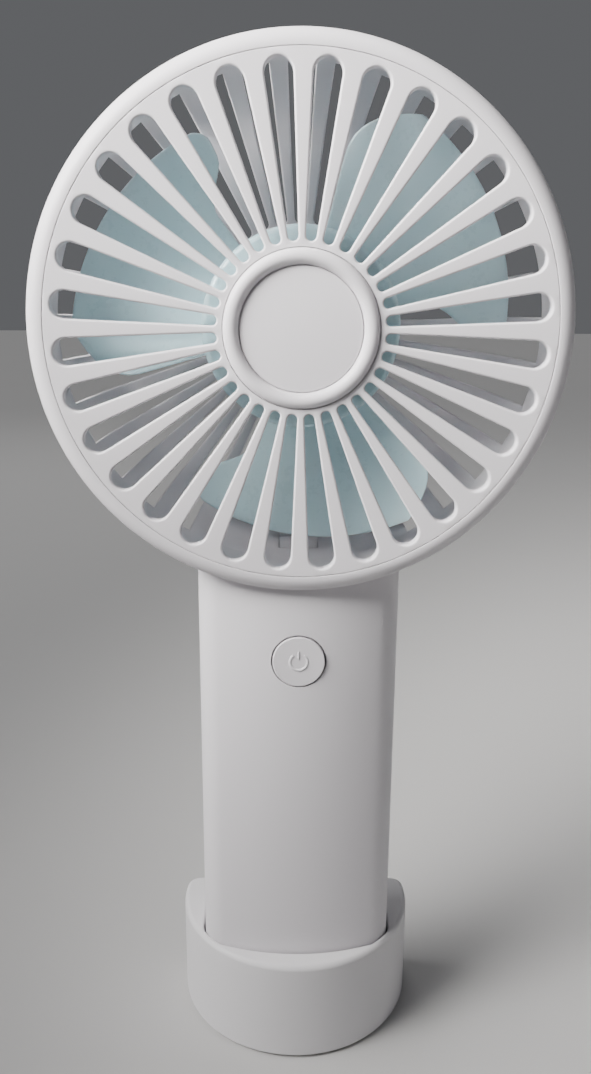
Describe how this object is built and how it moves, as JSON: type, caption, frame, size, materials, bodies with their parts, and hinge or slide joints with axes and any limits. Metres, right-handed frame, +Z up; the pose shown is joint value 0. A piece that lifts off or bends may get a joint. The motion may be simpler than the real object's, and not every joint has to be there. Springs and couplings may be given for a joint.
{
  "type": "handheld electric fan",
  "caption": "Slim handheld battery fan with a round slotted guard, blue three-blade impeller, power button and a D-shaped stand cup.",
  "frame": {"origin": "on the floor under the middle of the cradle's footprint", "axes": "+Z up, +Y from the front face to the back, +X to the right seen from the front; the air leaves towards -Y"},
  "size_m": [0.0996, 0.0324, 0.2069],
  "materials": {
    "cradle_plastic": "satin moulded",
    "pad_rubber": "matte",
    "shell_plastic": "satin moulded",
    "grille_plastic": "satin moulded",
    "impeller_plastic": "translucent moulded",
    "can_steel": "plated",
    "black_plastic": "moulded",
    "shaft_steel": "ground",
    "bushing_bronze": "sintered",
    "copper": "enamelled",
    "screw_steel": "nickel plated",
    "wire_red": "insulation",
    "wire_black": "insulation",
    "cell_wrap": "shrink wrap",
    "foam": "foam",
    "board_green": "solder mask",
    "plunger_plastic": "moulded",
    "ceramic": "ceramic",
    "light_clear": "clear moulded"
  },
  "bodies": {
    "cradle": {"base_cup": "cradle_plastic", "base_pad": "pad_rubber"},
    "fan": {"front_shell": "shell_plastic", "rear_shell": "shell_plastic", "front_grille": "grille_plastic", "hub_ring": "grille_plastic", "hub_cap": "grille_plastic", "motor_can": "can_steel", "motor_end_cap": "black_plastic", "front_bushing": "bushing_bronze", "rear_bushing": "bushing_bronze", "motor_brushes": "copper", "motor_magnets": "can_steel", "motor_retainer": "shell_plastic", "retainer_screws": "screw_steel", "motor_wires": "wire_red", "wire_cover": "shell_plastic", "battery_cell": "cell_wrap", "battery_tabs": "screw_steel", "battery_pads": "foam", "battery_wires": "wire_black", "main_board": "board_green", "switch_body": "black_plastic", "socket_shell": "screw_steel", "socket_tongue": "black_plastic", "charge_controller": "black_plastic", "board_inductor": "black_plastic", "board_capacitors": "ceramic", "status_light": "light_clear", "light_pipe": "light_clear", "board_screws": "screw_steel", "case_screws": "screw_steel"},
    "rotor": {"impeller": "impeller_plastic", "motor_shaft": "shaft_steel", "rotor_core": "can_steel", "rotor_windings": "copper", "commutator": "copper"},
    "button": {"power_button": "shell_plastic", "switch_plunger": "plunger_plastic"}
  },
  "joints": [
    {"name": "fan_lift", "type": "slide", "parent": "cradle", "child": "fan", "axis": [0, 0, 1], "range_m": [0, 0.06]},
    {"name": "impeller_spin", "type": "hinge", "parent": "fan", "child": "rotor", "pos_m": [0, 0, 0.1571], "axis": [0, -1, 0], "continuous": true},
    {"name": "button_press", "type": "slide", "parent": "fan", "child": "button", "axis": [0, 1, 0], "range_m": [0, 0.0004], "stiffness_N_per_m": 1500}
  ]
}
